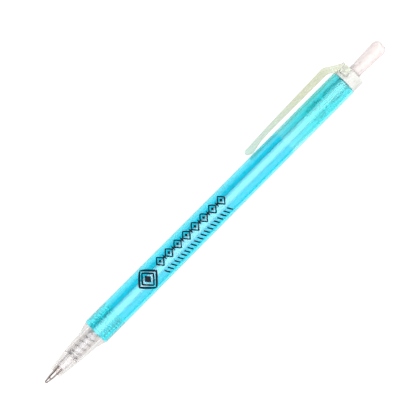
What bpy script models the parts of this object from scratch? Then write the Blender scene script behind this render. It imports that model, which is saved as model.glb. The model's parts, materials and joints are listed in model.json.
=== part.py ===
"""A retractable gel pen lying on its barrel and clip.

The pen is modelled in its own frame: X runs from the ball (x = 0) to the push button, and the clip stands
towards +Y. The empty PEN_FRAME then lays it down, so that the barrel and one edge of the clip touch Z = 0.
Lengths are in millimetres and are turned into metres when a mesh is made.
"""

import math

import bmesh
import bpy
from mathutils import Matrix, Vector

MM = 0.001
SEGMENTS = 32
FULL_TURN = 2 * math.pi

# Driving dimensions
PEN_LENGTH = 142.0
SLIDE_GAP = 0.15
REST_GAP = 0.2

BARREL_FRONT = 21.35
BARREL_REAR = 125.9
BARREL_FRONT_RADIUS = 4.34
BARREL_REAR_RADIUS = 4.08
BORE_RADIUS = 3.3
EDGE_ROUND = 0.2

THREAD_PITCH = 1.0
THREAD_DEPTH = 0.3
THREAD_GAP = 0.15
THREAD_START = 21.8
THREAD_END = 29.6
THREAD_FADE = 0.7
THREAD_ROWS_PER_PITCH = 5
SPIGOT_CREST_RADIUS = BORE_RADIUS - THREAD_GAP
SPIGOT_MEAN_RADIUS = SPIGOT_CREST_RADIUS - THREAD_DEPTH / 2
SPIGOT_END = 29.9

NOSE_FRONT = 4.3
NOSE_SHOULDER = BARREL_FRONT - REST_GAP
NOSE_LIP_RADIUS = 1.2
NOSE_LIP_END = 5.1
STEM_RADIUS = 1.35
CHAMBER_START = 11.0
CHAMBER_RADIUS = 2.25

SPRING_START = 11.15
SPRING_END = 27.35
SPRING_RADIUS = 2.0
SPRING_WIRE = 0.4
SPRING_PITCH = 1.9
SPRING_DEAD_TURNS = 1.5
SPRING_SEAT_RADIUS = 2.1
SPRING_SEAT_END = 28.6

FIT_GAP = 0.1
TUBE_START = 32.1
TUBE_END = 109.8
TUBE_RADIUS = 1.45
TUBE_BORE = 1.05
PLUG_RADIUS = TUBE_BORE - 0.08
PLUG_EDGE = 0.1
INK_START = 36.0
INK_END = 96.0
INK_RADIUS = TUBE_BORE - SLIDE_GAP
FOLLOWER_END = 100.0
FOLLOWER_DIMPLE = 0.4
TAIL_PLUG_START = 105.4
TAIL_END = 111.2
TAIL_VENT_RADIUS = 0.4

BALL_RADIUS = 0.35
BALL_GAP = 0.02
TIP_BASE = 6.5
TIP_SHANK_END = 9.5
TIP_SHANK_RADIUS = 0.85
CHANNEL_RADIUS = 0.55
HAIR_SPRING_START = 2.8
HAIR_SPRING_END = 9.2
HAIR_SPRING_RADIUS = 0.4
HAIR_SPRING_WIRE = 0.12
HAIR_SPRING_TURNS = 12

FIN_RADIUS = 2.6
SLEEVE_START = 101.0
SLEEVE_RADIUS = BORE_RADIUS - 0.1
SLEEVE_BORE = FIN_RADIUS + SLIDE_GAP
SLEEVE_CHAMFER = 0.2
BARB_START = 117.0
BARB_SPACING = 2.2
BARB_COUNT = 4
BARB_HEIGHT = 0.06
COLLAR_START = BARREL_REAR + REST_GAP
COLLAR_END = 130.1
COLLAR_RADIUS = 4.05
COLLAR_ROUND = 0.6
COLLAR_WALL_START = 128.6
BUTTON_HOLE_RADIUS = 2.15

TRACK_COUNT = 4
TRACK_INNER_RADIUS = 2.12
TRACK_HALF_ANGLE = math.radians(14)
FIN_HALF_ANGLE = math.radians(11)
CLICK_TRAVEL = 5.0
CLICK_TURN = math.radians(45)
HELIX_MM_PER_RADIAN = CLICK_TRAVEL / CLICK_TURN

ROTOR_START = 111.4
ROTOR_END = 117.4
ROTOR_RADIUS = 1.95
ROTOR_WAIST_RADIUS = 1.6
ROTOR_STEM_RADIUS = 0.85
ROTOR_STEM_LENGTH = 3.6
FIN_START = 112.4
FIN_END = 114.6
TOOTH_COUNT = 8
TOOTH_HEIGHT = 0.7

PLUNGER_START = 118.3
PLUNGER_NECK_RADIUS = 2.0
PLUNGER_HEAD_RADIUS = 2.3
PLUNGER_FLAT_RADIUS = 0.9
PLUNGER_BORE = 1.15
PLUNGER_GUIDE_END = 123.4
PLUNGER_HEAD_START = 134.0
PLUNGER_DOME = 2.0

CLIP_HINGE_X = 129.6
CLIP_HINGE_Y = 4.4
CLIP_KNEE_X = 124.0
CLIP_KNEE_Y = 7.43
CLIP_TIP_X = 89.9
CLIP_KNEE_HALF_WIDTH = 2.1
CLIP_TIP_HALF_WIDTH = 1.7
CLIP_EDGE = 0.3
LUG_START = 127.2
LUG_END = 129.2
LUG_HALF_WIDTH = 1.2
LUG_BOTTOM = 3.35
LUG_GAP = 0.25
SADDLE_RADIUS = 4.3
CHEEK_START = 127.4
CHEEK_END = 130.05
CHEEK_INNER_RADIUS = 3.9
CHEEK_OUTER_RADIUS = 4.25
CHEEK_HALF_ANGLE = math.radians(74)
RECESS_START = CHEEK_START - 0.4
RECESS_RADIUS = CHEEK_INNER_RADIUS - SLIDE_GAP
RECESS_HALF_ANGLE = math.radians(79)

# Side views, as (x, radius) or (x, y)
NOSE_OUTLINE = (
    (4.3, 1.7), (4.42, 1.82), (9.8, 2.5), (14.3, 2.92), (17.2, 3.15), (18.5, 3.35), (19.8, 3.8),
)
TIP_OUTLINE = (
    (0.24, 0.375), (0.24, 0.44), (0.45, 0.5), (1.5, 0.66), (2.4, 0.83), (3.9, 0.9), (TIP_BASE, 1.0),
)
TIP_CHANNEL = ((2.6, CHANNEL_RADIUS), (1.6, 0.2), (0.95, 0.2))
CLIP_OUTER = (
    (CHEEK_END, 4.35), (129.3, 4.4), (124.9, 7.18), (CLIP_KNEE_X, CLIP_KNEE_Y), (104.0, 7.0), (91.8, 6.55),
)
CLIP_INNER = (
    (91.3, 4.55), (92.1, 4.32), (92.9, 4.5), (95.5, 5.05), (97.5, 5.25),
    (100.0, 5.35), (123.3, 5.3), (124.9, 4.9), (126.2, 3.6), (CHEEK_END, 3.6),
)

# The pen leans on the clip's knee: this turn about X brings the knee's rounded lower edge level with the
# bottom of the barrel.
KNEE_ROUND_Y = CLIP_KNEE_Y - CLIP_EDGE
KNEE_ROUND_Z = CLIP_KNEE_HALF_WIDTH - CLIP_EDGE
REST_TURN = math.asin((BARREL_FRONT_RADIUS - CLIP_EDGE) / math.hypot(KNEE_ROUND_Y, KNEE_ROUND_Z))
REST_TURN -= math.atan2(KNEE_ROUND_Z, KNEE_ROUND_Y)
CLIP_REACH_Y = KNEE_ROUND_Y * math.cos(REST_TURN) + KNEE_ROUND_Z * math.sin(REST_TURN) + CLIP_EDGE
AXIS_Y = (BARREL_FRONT_RADIUS - CLIP_REACH_Y) / 2


def clear_scene():
    for obj in list(bpy.data.objects):
        bpy.data.objects.remove(obj, do_unlink=True)


def plastic(name, colour, roughness=0.3, alpha=1.0):
    material = bpy.data.materials.new(name)
    material.use_nodes = True
    shader = material.node_tree.nodes["Principled BSDF"]
    shader.inputs["Base Color"].default_value = (*colour, 1.0)
    shader.inputs["Roughness"].default_value = roughness
    shader.inputs["Alpha"].default_value = alpha
    return material


def metal(name, colour, roughness):
    material = plastic(name, colour, roughness)
    material.node_tree.nodes["Principled BSDF"].inputs["Metallic"].default_value = 1.0
    return material


def pen_frame():
    """The empty that lays the pen down. Its origin is the pen's own x = 0 on the barrel's axis."""
    frame = bpy.data.objects.new("PEN_FRAME", None)
    bpy.context.collection.objects.link(frame)
    frame.location = (-PEN_LENGTH / 2 * MM, AXIS_Y * MM, BARREL_FRONT_RADIUS * MM)
    frame.rotation_euler = (-REST_TURN, 0, 0)
    return frame


def place(name, bm, material, frame, origin=(0, 0, 0), smooth_angle=35):
    """Makes the mesh an object whose origin is at a point of the pen's frame, in millimetres."""
    bmesh.ops.recalc_face_normals(bm, faces=bm.faces)
    bm.transform(Matrix.Scale(MM, 4) @ Matrix.Translation(-Vector(origin)))
    mesh = bpy.data.meshes.new(name)
    bm.to_mesh(mesh)
    bm.free()
    mesh.shade_smooth()
    mesh.set_sharp_from_angle(angle=math.radians(smooth_angle))
    mesh.materials.append(material)
    obj = bpy.data.objects.new(name, mesh)
    bpy.context.collection.objects.link(obj)
    obj.parent = frame
    obj.location = Vector(origin) * MM
    return obj


def helper(name, bm, frame):
    """A shape that only a Boolean reads."""
    bmesh.ops.recalc_face_normals(bm, faces=bm.faces)
    bm.transform(Matrix.Scale(MM, 4))
    mesh = bpy.data.meshes.new(name)
    bm.to_mesh(mesh)
    bm.free()
    obj = bpy.data.objects.new(name, mesh)
    bpy.context.collection.objects.link(obj)
    obj.parent = frame
    obj.hide_render = True
    obj.display_type = "WIRE"
    return obj


def boolean(obj, other, operation):
    modifier = obj.modifiers.new(other.name, "BOOLEAN")
    modifier.operation = operation
    modifier.object = other


def turned(profile, segments=SEGMENTS):
    """A solid of revolution about X from a closed outline of (x, radius) points."""
    bm = bmesh.new()
    points = [bm.verts.new((x, radius, 0)) for x, radius in profile]
    pairs = list(zip(points, points[1:] + points[:1]))
    edges = [bm.edges.new(pair) for pair in pairs if pair[0].co.y > 0 or pair[1].co.y > 0]
    bmesh.ops.spin(
        bm, geom=points + edges, cent=(0, 0, 0), axis=(1, 0, 0), angle=FULL_TURN, steps=segments,
        use_merge=True,
    )
    bmesh.ops.remove_doubles(bm, verts=bm.verts, dist=1e-5)
    return bm


def arc(centre_x, centre_radius, size, start_degrees, end_degrees, steps):
    """Points of a round stretch of an outline, angles counted from +X towards growing radius."""
    span = end_degrees - start_degrees
    angles = [math.radians(start_degrees + span * i / steps) for i in range(steps + 1)]
    return [(centre_x + size * math.cos(a), centre_radius + size * math.sin(a)) for a in angles]


def thread_rows():
    """The x of each row of points along the thread."""
    count = round((THREAD_END - THREAD_START) / THREAD_PITCH * THREAD_ROWS_PER_PITCH)
    step = (THREAD_END - THREAD_START) / count
    return [THREAD_START + step * i for i in range(count + 1)]


def thread_share(x):
    """How much of the thread's depth stands at x: none at either end and all of it between."""
    into = min(x - THREAD_START, THREAD_END - x) / THREAD_FADE
    into = max(0.0, min(1.0, into))
    return into * into * (3 - 2 * into)


def cut_thread(bm, plain_radius, rest_level):
    """Shapes the rows at plain_radius into a right-hand thread. The radius where the thread fades out is
    at rest_level times half the depth from its middle: 1 for a crest and -1 for a root."""
    half = THREAD_DEPTH / 2
    for vertex in bm.verts:
        radius = math.hypot(vertex.co.y, vertex.co.z)
        if abs(radius - plain_radius) > 1e-3 or not THREAD_START <= vertex.co.x <= THREAD_END:
            continue
        turn = math.atan2(vertex.co.z, vertex.co.y)
        wave = math.cos(FULL_TURN * vertex.co.x / THREAD_PITCH - turn)
        share = thread_share(vertex.co.x)
        middle = plain_radius - rest_level * half
        factor = (middle + half * (share * wave + (1 - share) * rest_level)) / radius
        vertex.co.y *= factor
        vertex.co.z *= factor


def sector(inner, outer, start_x, end_x, centre_angle, half_angle, start_slope=0.0, end_slope=0.0, steps=3):
    """A block between two radii. Its two ends may slope with the angle, in millimetres per radian."""
    bm = bmesh.new()
    rings = []
    for i in range(steps + 1):
        offset = half_angle * (2 * i / steps - 1)
        angle = centre_angle + offset
        start, end = start_x + start_slope * offset, end_x + end_slope * offset
        corners = ((start, inner), (start, outer), (end, outer), (end, inner))
        rings.append([bm.verts.new((x, r * math.cos(angle), r * math.sin(angle))) for x, r in corners])
    for ring, following in zip(rings, rings[1:]):
        for i in range(4):
            j = (i + 1) % 4
            bm.faces.new((ring[i], ring[j], following[j], following[i]))
    bm.faces.new(rings[0])
    bm.faces.new(rings[-1])
    return bm


def around(make_block, count):
    """One mesh of count blocks spread evenly about X, from a function of the block's angle."""
    joined = bmesh.new()
    for i in range(count):
        block = make_block(FULL_TURN * i / count)
        scrap = bpy.data.meshes.new("scrap")
        block.to_mesh(scrap)
        block.free()
        joined.from_mesh(scrap)
        bpy.data.meshes.remove(scrap)
    return joined


def raise_teeth(bm, ring_x, direction):
    """Turns the flat ring at ring_x into a crown of triangular teeth along X."""
    for vertex in bm.verts:
        if abs(vertex.co.x - ring_x) > 1e-3 or math.hypot(vertex.co.y, vertex.co.z) < 1e-3:
            continue
        phase = math.atan2(vertex.co.z, vertex.co.y) * TOOTH_COUNT / FULL_TURN
        height = 1 - 2 * abs(phase - round(phase))
        vertex.co.x += direction * TOOTH_HEIGHT * height


def coil_rise(turn, turns, dead_turns, wire, length):
    """How far the wire has climbed along X: by its own thickness a turn where the ends are closed, and
    evenly between them."""
    closed = dead_turns * wire * 1.02
    if turn < dead_turns:
        return closed * turn / dead_turns
    if turn > turns - dead_turns:
        return length - closed * (turns - turn) / dead_turns
    return closed + (length - 2 * closed) * (turn - dead_turns) / (turns - 2 * dead_turns)


def coil(start, end, radius, wire, turns, dead_turns, sides, steps_per_turn):
    """A wire wound about X, its middle going from start to end, with capped ends."""
    bm = bmesh.new()
    count = round(turns * steps_per_turn)
    rings = []
    for i in range(count + 1):
        turn = turns * i / count
        x = start + coil_rise(turn, turns, dead_turns, wire, end - start)
        angle = FULL_TURN * turn
        ring = []
        for k in range(sides):
            around_wire = FULL_TURN * k / sides
            r = radius + wire / 2 * math.cos(around_wire)
            wire_x = x + wire / 2 * math.sin(around_wire)
            ring.append(bm.verts.new((wire_x, r * math.cos(angle), r * math.sin(angle))))
        rings.append(ring)
    for ring, following in zip(rings, rings[1:]):
        for k in range(sides):
            m = (k + 1) % sides
            bm.faces.new((ring[k], ring[m], following[m], following[k]))
    bm.faces.new(rings[0])
    bm.faces.new(rings[-1])
    return bm


def barrel_radius(x):
    share = (x - BARREL_FRONT) / (BARREL_REAR - BARREL_FRONT)
    return BARREL_FRONT_RADIUS + (BARREL_REAR_RADIUS - BARREL_FRONT_RADIUS) * share


def make_barrel(frame):
    outer_front = barrel_radius(BARREL_FRONT) - EDGE_ROUND
    outer_rear = barrel_radius(BARREL_REAR) - EDGE_ROUND
    profile = arc(BARREL_FRONT + EDGE_ROUND, outer_front, EDGE_ROUND, 180, 90, 3)
    profile += arc(BARREL_REAR - EDGE_ROUND, outer_rear, EDGE_ROUND, 90, 0, 3)
    profile += [(BARREL_REAR, BORE_RADIUS)]
    profile += [(x, BORE_RADIUS) for x in reversed(thread_rows())]
    profile += [(BARREL_FRONT, BORE_RADIUS)]
    bm = turned(profile)
    cut_thread(bm, BORE_RADIUS, rest_level=1)
    return place("barrel", bm, plastic("barrel_aqua", (0.1, 0.75, 0.95), 0.25, 0.5), frame)


def make_nose_cone(frame):
    root = SPIGOT_MEAN_RADIUS - THREAD_DEPTH / 2
    profile = [
        (NOSE_FRONT, NOSE_LIP_RADIUS),
        *NOSE_OUTLINE,
        (NOSE_SHOULDER - EDGE_ROUND, 4.2),
        (NOSE_SHOULDER, 4.15),
        (NOSE_SHOULDER, root),
    ]
    profile += [(x, root) for x in thread_rows()]
    profile += [
        (SPIGOT_END, root - 0.15),
        (SPIGOT_END, CHAMBER_RADIUS),
        (CHAMBER_START, CHAMBER_RADIUS),
        (CHAMBER_START, STEM_RADIUS + SLIDE_GAP),
        (NOSE_LIP_END, STEM_RADIUS + SLIDE_GAP),
        (NOSE_LIP_END, NOSE_LIP_RADIUS),
    ]
    bm = turned(profile)
    cut_thread(bm, root, rest_level=-1)
    return place("nose_cone", bm, plastic("nose_clear", (0.9, 0.88, 0.88), 0.15, 0.4), frame)


def make_return_spring(frame):
    length = SPRING_END - SPRING_START - SPRING_WIRE
    live_length = length - 2 * SPRING_DEAD_TURNS * SPRING_WIRE
    turns = 2 * SPRING_DEAD_TURNS + round(live_length / SPRING_PITCH)
    half = SPRING_WIRE / 2
    bm = coil(
        SPRING_START + half, SPRING_END - half, SPRING_RADIUS - half, SPRING_WIRE, turns, SPRING_DEAD_TURNS,
        sides=5, steps_per_turn=14,
    )
    return place("return_spring", bm, metal("spring_steel", (0.75, 0.75, 0.77), 0.25), frame)


def make_tip_ball(frame):
    bm = bmesh.new()
    bmesh.ops.create_icosphere(bm, subdivisions=2, radius=BALL_RADIUS)
    centre = (BALL_RADIUS, 0, 0)
    bmesh.ops.translate(bm, verts=bm.verts, vec=centre)
    return place("tip_ball", bm, metal("carbide", (0.6, 0.6, 0.62), 0.1), frame, centre, smooth_angle=80)


def make_tip_cone(frame):
    profile = [
        *TIP_OUTLINE,
        (TIP_BASE, TIP_SHANK_RADIUS),
        (TIP_SHANK_END, TIP_SHANK_RADIUS),
        (TIP_SHANK_END, CHANNEL_RADIUS),
        *TIP_CHANNEL,
    ]
    profile += arc(BALL_RADIUS, 0, BALL_RADIUS + BALL_GAP, 32, 98, 5)
    bm = turned(profile, segments=24)
    return place("tip_cone", bm, metal("tip_metal", (0.78, 0.76, 0.72), 0.2), frame)


def make_ball_spring(frame):
    bm = coil(
        HAIR_SPRING_START, HAIR_SPRING_END, HAIR_SPRING_RADIUS, HAIR_SPRING_WIRE, HAIR_SPRING_TURNS, 0,
        sides=4, steps_per_turn=10,
    )
    return place("ball_spring", bm, metal("hair_spring_steel", (0.7, 0.7, 0.72), 0.3), frame)


def make_tip_holder(frame):
    front = TIP_BASE + FIT_GAP
    socket_end = TIP_SHANK_END + FIT_GAP
    seat = SPRING_END + SLIDE_GAP
    profile = [
        (front, TIP_SHANK_RADIUS + FIT_GAP),
        (front, STEM_RADIUS - 0.2),
        (front + 0.4, STEM_RADIUS),
        (seat, STEM_RADIUS),
        (seat, SPRING_SEAT_RADIUS - PLUG_EDGE),
        (seat + PLUG_EDGE, SPRING_SEAT_RADIUS),
        (SPRING_SEAT_END, SPRING_SEAT_RADIUS),
        (SPRING_SEAT_END + 0.5, TUBE_RADIUS),
        (TUBE_START - FIT_GAP, TUBE_RADIUS),
        (TUBE_START - FIT_GAP, PLUG_RADIUS),
        (INK_START - 0.3, PLUG_RADIUS),
        (INK_START - FIT_GAP, PLUG_RADIUS - PLUG_EDGE),
        (INK_START - FIT_GAP, CHANNEL_RADIUS + 0.2),
        (TUBE_START - 2.0, CHANNEL_RADIUS),
        (socket_end, CHANNEL_RADIUS),
        (socket_end, TIP_SHANK_RADIUS + FIT_GAP),
    ]
    return place("tip_holder", turned(profile), plastic("holder_white", (0.85, 0.85, 0.85), 0.4), frame)


def make_refill_tube(frame):
    profile = [
        (TUBE_START, TUBE_BORE),
        (TUBE_START, TUBE_RADIUS),
        (TUBE_END, TUBE_RADIUS),
        (TUBE_END, TUBE_BORE),
    ]
    return place("refill_tube", turned(profile), plastic("tube_milky", (0.9, 0.92, 0.93), 0.35, 0.6), frame)


def make_gel_ink(frame):
    profile = [(INK_START, 0), (INK_START, INK_RADIUS), (INK_END, INK_RADIUS), (INK_END, 0)]
    return place("gel_ink", turned(profile), plastic("ink", (0.02, 0.02, 0.03), 0.1), frame)


def make_grease_follower(frame):
    start = INK_END + REST_GAP
    profile = [
        (start, 0),
        (start, INK_RADIUS),
        (FOLLOWER_END, INK_RADIUS),
        (FOLLOWER_END - FOLLOWER_DIMPLE, 0),
    ]
    return place("grease_follower", turned(profile), plastic("grease", (0.9, 0.88, 0.75), 0.15, 0.5), frame)


def make_tail_plug(frame):
    flange = TUBE_END + FIT_GAP
    profile = [
        (TAIL_PLUG_START, TAIL_VENT_RADIUS),
        (TAIL_PLUG_START, PLUG_RADIUS - PLUG_EDGE),
        (TAIL_PLUG_START + 2 * PLUG_EDGE, PLUG_RADIUS),
        (flange, PLUG_RADIUS),
        (flange, TUBE_RADIUS),
        (TAIL_END - PLUG_EDGE, TUBE_RADIUS),
        (TAIL_END, TUBE_RADIUS - PLUG_EDGE),
        (TAIL_END, TAIL_VENT_RADIUS),
    ]
    return place("tail_plug", turned(profile), plastic("plug_white", (0.85, 0.85, 0.85), 0.4), frame)


def make_cam_rotor(frame):
    crown = ROTOR_END - TOOTH_HEIGHT
    stem_end = ROTOR_END + ROTOR_STEM_LENGTH
    profile = [
        (ROTOR_START, 0),
        (ROTOR_START, ROTOR_RADIUS - 0.1),
        (ROTOR_START + 0.1, ROTOR_RADIUS),
        (FIN_START + 0.3, ROTOR_RADIUS),
        (FIN_START + 0.5, ROTOR_WAIST_RADIUS),
        (crown - 0.9, ROTOR_WAIST_RADIUS),
        (crown - 0.7, ROTOR_RADIUS),
        (crown, ROTOR_RADIUS),
        (crown, 1.2),
        (crown - 0.1, ROTOR_STEM_RADIUS),
        (stem_end - 0.3, ROTOR_STEM_RADIUS),
        (stem_end, ROTOR_STEM_RADIUS - 0.3),
        (stem_end, 0),
    ]
    bm = turned(profile)
    raise_teeth(bm, crown, 1)
    rotor = place("cam_rotor", bm, plastic("rotor_dark", (0.05, 0.3, 0.4), 0.35), frame, (ROTOR_START, 0, 0))

    def fin(angle):
        return sector(
            ROTOR_WAIST_RADIUS - 0.2, FIN_RADIUS, FIN_START, FIN_END, angle, FIN_HALF_ANGLE,
            end_slope=HELIX_MM_PER_RADIAN,
        )

    boolean(rotor, helper("rotor_fins", around(fin, TRACK_COUNT), frame), "UNION")
    return rotor


def make_plunger(frame):
    crown = PLUNGER_START + TOOTH_HEIGHT
    profile = [
        (crown, PLUNGER_BORE),
        (crown, PLUNGER_NECK_RADIUS - 0.05),
        (PLUNGER_GUIDE_END, PLUNGER_NECK_RADIUS),
        (COLLAR_END + 1.2, PLUNGER_NECK_RADIUS + 0.02),
        (PLUNGER_HEAD_START, PLUNGER_NECK_RADIUS + 0.1),
    ]
    shoulder = PLUNGER_HEAD_RADIUS - PLUNGER_FLAT_RADIUS
    for point_x, lift in arc(0, 0, 1, 0, 90, 6):
        profile.append((PEN_LENGTH - PLUNGER_DOME * (1 - lift), PLUNGER_FLAT_RADIUS + shoulder * point_x))
    profile += [(PEN_LENGTH, 0), (PLUNGER_HEAD_START, 0), (PLUNGER_HEAD_START - 0.6, PLUNGER_BORE)]
    bm = turned(profile)
    raise_teeth(bm, crown, -1)
    plunger = place("plunger", bm, plastic("button_frosted", (0.92, 0.88, 0.88), 0.45, 0.8), frame)

    def guide(angle):
        centre = angle + math.pi / TRACK_COUNT
        inner = PLUNGER_NECK_RADIUS - 0.2
        return sector(inner, FIN_RADIUS, crown + 0.4, PLUNGER_GUIDE_END, centre, FIN_HALF_ANGLE)

    boolean(plunger, helper("plunger_guides", around(guide, TRACK_COUNT), frame), "UNION")
    return plunger


def make_end_cap(frame):
    barbs = []
    for i in range(BARB_COUNT):
        x = BARB_START + BARB_SPACING * i
        barbs += [(x, SLEEVE_RADIUS), (x + 0.8, SLEEVE_RADIUS + BARB_HEIGHT), (x + 0.9, SLEEVE_RADIUS)]
    profile = [
        (SLEEVE_START, SLEEVE_BORE),
        (SLEEVE_START, SLEEVE_RADIUS - SLEEVE_CHAMFER),
        (SLEEVE_START + 2 * SLEEVE_CHAMFER, SLEEVE_RADIUS),
        *barbs,
        (COLLAR_START, SLEEVE_RADIUS),
        (COLLAR_START, COLLAR_RADIUS),
        *arc(COLLAR_END - COLLAR_ROUND, COLLAR_RADIUS - COLLAR_ROUND, COLLAR_ROUND, 90, 0, 4),
        (COLLAR_END, BUTTON_HOLE_RADIUS + 0.15),
        (COLLAR_END - 0.15, BUTTON_HOLE_RADIUS),
        (COLLAR_WALL_START, BUTTON_HOLE_RADIUS),
        (COLLAR_WALL_START, SLEEVE_BORE),
    ]
    cap = place("end_cap", turned(profile), plastic("cap_frosted", (0.9, 0.92, 0.9), 0.4, 0.8), frame)

    def track(angle):
        return sector(
            TRACK_INNER_RADIUS, SLEEVE_BORE + 0.2, FIN_END + REST_GAP, COLLAR_WALL_START + 0.3, angle,
            TRACK_HALF_ANGLE, start_slope=HELIX_MM_PER_RADIAN,
        )

    boolean(cap, helper("cam_tracks", around(track, TRACK_COUNT), frame), "UNION")
    pocket = box(
        (LUG_START - LUG_GAP, LUG_BOTTOM - LUG_GAP, -LUG_HALF_WIDTH - LUG_GAP),
        (LUG_END + LUG_GAP, COLLAR_RADIUS + 1, LUG_HALF_WIDTH + LUG_GAP),
    )
    boolean(cap, helper("clip_pocket", pocket, frame), "DIFFERENCE")
    recess = sector(
        RECESS_RADIUS, COLLAR_RADIUS + 1, RECESS_START, COLLAR_END + 1, 0, RECESS_HALF_ANGLE, steps=24,
    )
    boolean(cap, helper("cheek_recess", recess, frame), "DIFFERENCE")
    return cap


def box(low, high):
    bm = bmesh.new()
    size = Vector(high) - Vector(low)
    middle = (Vector(high) + Vector(low)) / 2
    bmesh.ops.create_cube(bm, size=1, matrix=Matrix.Translation(middle) @ Matrix.Diagonal((*size, 1)))
    return bm


def clip_half_width(x):
    """The clip narrows evenly from root to tip, which keeps its two sides flat."""
    share = (CLIP_KNEE_X - x) / (CLIP_KNEE_X - CLIP_TIP_X)
    return CLIP_KNEE_HALF_WIDTH + (CLIP_TIP_HALF_WIDTH - CLIP_KNEE_HALF_WIDTH) * share


def clip_outline():
    """The clip's side view, counterclockwise seen from +Z: outer side to the tip, then the inner side back."""
    return [*CLIP_OUTER, *arc(91.0, 5.7, 0.9, 100, 225, 5), *CLIP_INNER]


def make_clip(frame):
    outline = clip_outline()
    bm = bmesh.new()
    near = [bm.verts.new((x, y, -clip_half_width(x))) for x, y in outline]
    far = [bm.verts.new((x, y, clip_half_width(x))) for x, y in outline]
    bm.faces.new(near)
    bm.faces.new(far)
    for i in range(len(outline)):
        j = (i + 1) % len(outline)
        bm.faces.new((near[i], near[j], far[j], far[i]))
    hinge = (CLIP_HINGE_X, CLIP_HINGE_Y, 0)
    clip = place("clip", bm, plastic("clip_clear", (0.85, 0.92, 0.85), 0.1, 0.4), frame, hinge)
    bevel = clip.modifiers.new("soft_edges", "BEVEL")
    bevel.width = CLIP_EDGE * MM
    bevel.segments = 2
    bevel.limit_method = "ANGLE"
    bevel.angle_limit = math.radians(60)
    cheeks = sector(
        RECESS_RADIUS - 0.2, CHEEK_OUTER_RADIUS, CHEEK_START, CHEEK_END, 0, CHEEK_HALF_ANGLE, steps=16,
    )
    boolean(clip, helper("clip_cheeks", cheeks, frame), "UNION")
    front, rear = COLLAR_START - 2, COLLAR_END + 2
    saddle = turned([
        (front, 0), (front, SADDLE_RADIUS), (CHEEK_START - 0.1, SADDLE_RADIUS),
        (CHEEK_START - 0.1, CHEEK_INNER_RADIUS), (rear, CHEEK_INNER_RADIUS), (rear, 0),
    ])
    boolean(clip, helper("collar_saddle", saddle, frame), "DIFFERENCE")
    lug = box((LUG_START, LUG_BOTTOM, -LUG_HALF_WIDTH), (LUG_END, CLIP_HINGE_Y + 0.2, LUG_HALF_WIDTH))
    boolean(clip, helper("clip_lug", lug, frame), "UNION")
    return clip


def main():
    clear_scene()
    frame = pen_frame()
    make_barrel(frame)
    make_nose_cone(frame)
    make_return_spring(frame)
    make_tip_ball(frame)
    make_tip_cone(frame)
    make_ball_spring(frame)
    make_tip_holder(frame)
    make_refill_tube(frame)
    make_gel_ink(frame)
    make_grease_follower(frame)
    make_tail_plug(frame)
    make_cam_rotor(frame)
    make_plunger(frame)
    make_end_cap(frame)
    make_clip(frame)


main()
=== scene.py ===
"""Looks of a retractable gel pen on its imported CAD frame.

Every visible piece is built in the pen's own frame, in millimetres: X runs from the ball (x = 0) to the
push button, Y towards the clip, and Z out of the side that the photo shows. PEN lays it in the row frame.
"""

import json
import math

import bmesh
import bpy
from mathutils import Matrix, Vector


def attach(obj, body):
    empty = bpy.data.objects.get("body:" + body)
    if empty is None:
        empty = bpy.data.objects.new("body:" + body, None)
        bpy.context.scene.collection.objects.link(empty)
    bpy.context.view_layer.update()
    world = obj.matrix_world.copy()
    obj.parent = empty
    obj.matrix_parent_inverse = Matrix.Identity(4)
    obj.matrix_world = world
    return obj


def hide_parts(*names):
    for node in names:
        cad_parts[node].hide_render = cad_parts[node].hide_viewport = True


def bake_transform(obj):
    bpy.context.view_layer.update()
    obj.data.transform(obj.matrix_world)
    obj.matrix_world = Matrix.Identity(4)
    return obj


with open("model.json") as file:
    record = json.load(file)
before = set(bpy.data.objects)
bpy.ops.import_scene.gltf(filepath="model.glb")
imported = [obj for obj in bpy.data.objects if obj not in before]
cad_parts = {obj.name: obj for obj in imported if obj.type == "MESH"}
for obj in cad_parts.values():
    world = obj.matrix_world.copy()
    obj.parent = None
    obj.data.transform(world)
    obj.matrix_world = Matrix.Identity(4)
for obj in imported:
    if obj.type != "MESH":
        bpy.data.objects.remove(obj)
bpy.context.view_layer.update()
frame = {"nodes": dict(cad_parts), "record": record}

MM = 0.001
FULL_TURN = 2 * math.pi
ROUND = 96

# ---------------------------------------------------------------- the pen's frame, from the record

JOINTS = {joint["name"]: joint for joint in frame["record"]["behaviour"]["joints"]}
BALL_RADIUS = 0.35
BALL_CENTRE = Vector(JOINTS["ball_roll"]["pos_m"])
CLIP_AXIS = Vector(JOINTS["clip_flex"]["axis"]).normalized()
OUT = -CLIP_AXIS
CLIPWARD = OUT.cross(Vector((1, 0, 0))).normalized()
PEN = Matrix.Translation(BALL_CENTRE - Vector((BALL_RADIUS * MM, 0, 0)))
PEN @= Matrix(((1, 0, 0), CLIPWARD, OUT)).transposed().to_4x4()


def span(node):
    """(lowest x, highest x, largest radius) of a CAD node in the pen's frame, in millimetres."""
    to_pen = PEN.inverted()
    points = [to_pen @ v.co / MM for v in frame["nodes"][node].data.vertices]
    reach = max(math.hypot(p.y, p.z) for p in points)
    return min(p.x for p in points), max(p.x for p in points), reach


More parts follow.
